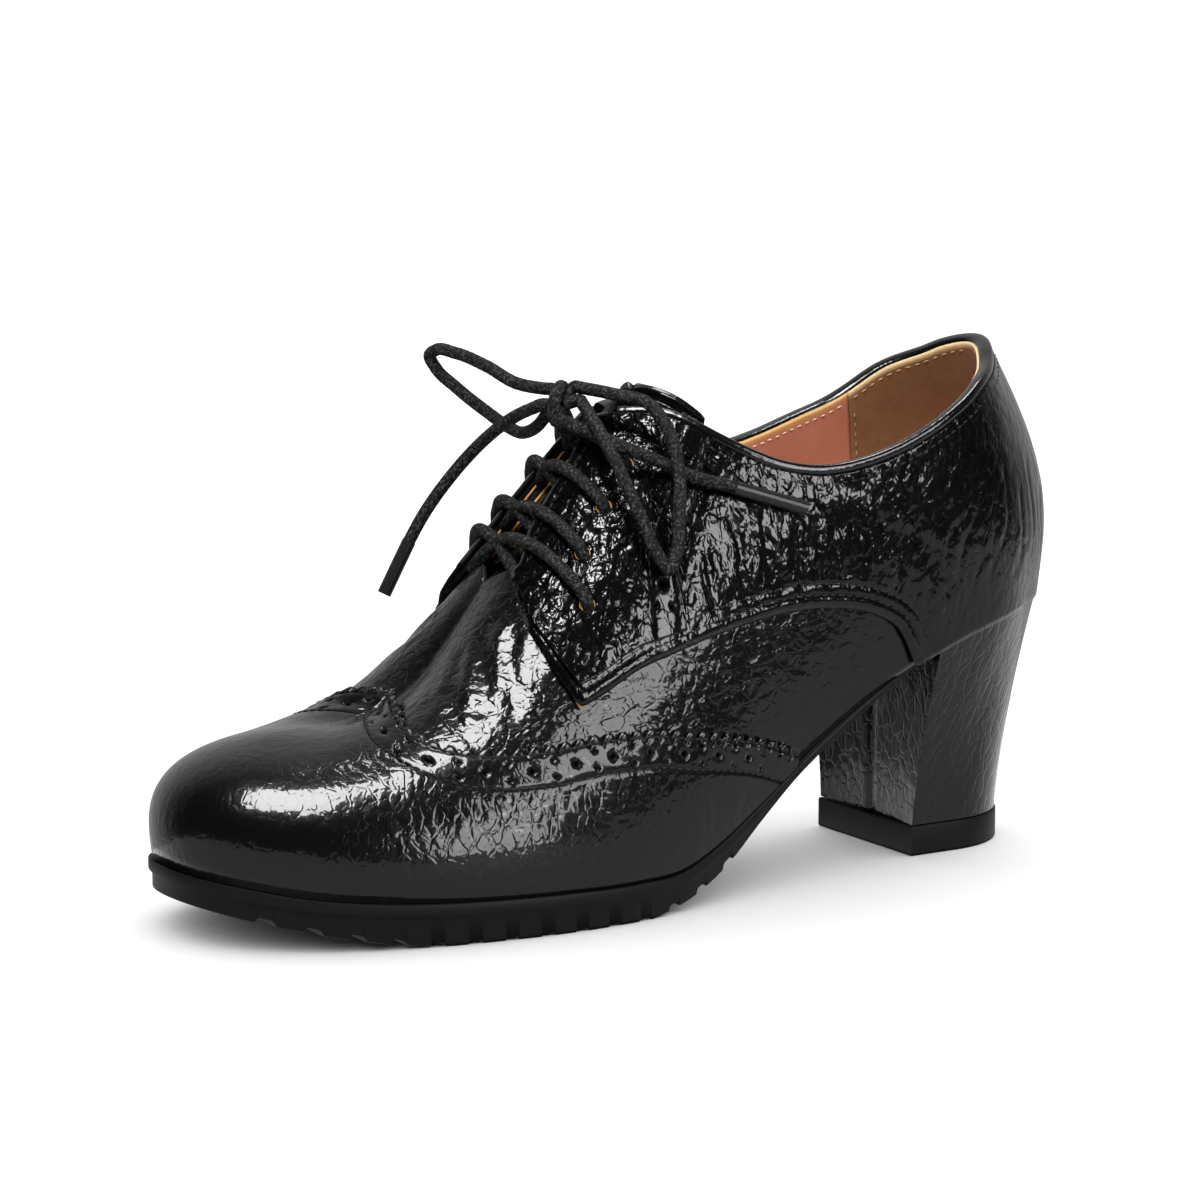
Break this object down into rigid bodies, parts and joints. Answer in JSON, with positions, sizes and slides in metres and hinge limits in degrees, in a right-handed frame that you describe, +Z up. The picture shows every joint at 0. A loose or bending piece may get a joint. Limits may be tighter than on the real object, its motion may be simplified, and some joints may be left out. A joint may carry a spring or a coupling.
{
  "type": "block heel derby shoe",
  "caption": "Women's lace-up wing-tip derby shoe in crinkled black patent leather, with a lugged rubber sole and a covered block heel.",
  "frame": {"origin": "on the floor, under the middle of the shoe's outline", "axes": "+X from the toe to the heel, +Y to the inner side of the left foot, +Z up"},
  "size_m": [0.2478, 0.1003, 0.1293],
  "materials": {
    "patent": "crinkled patent leather, high gloss",
    "tongue_leather": "smooth patent leather, gloss",
    "heel_cover": "crinkled patent leather, high gloss",
    "lining": "salmon lining leather, matt",
    "rubber": "black sole rubber, satin",
    "cord": "black waxed round braid",
    "lace_tip": "clear black film"
  },
  "bodies": {
    "root": {"upper": "patent", "toe_cap": "patent", "quarters": "patent", "eyestay_outer": "patent", "eyestay_inner": "patent", "tongue": "tongue_leather", "collar_binding": "tongue_leather", "insole": "lining", "outsole": "rubber", "heel": "heel_cover", "heel_top_piece": "rubber", "lace_row_1": "cord", "lace_row_2": "cord", "lace_row_3": "cord", "lace_row_4": "cord", "lace_knot": "cord", "lace_loop_outer": "cord", "lace_loop_inner": "cord", "lace_end_outer": "cord", "lace_end_inner": "cord", "lace_tip_outer": "lace_tip", "lace_tip_inner": "lace_tip"}
  },
  "joints": []
}
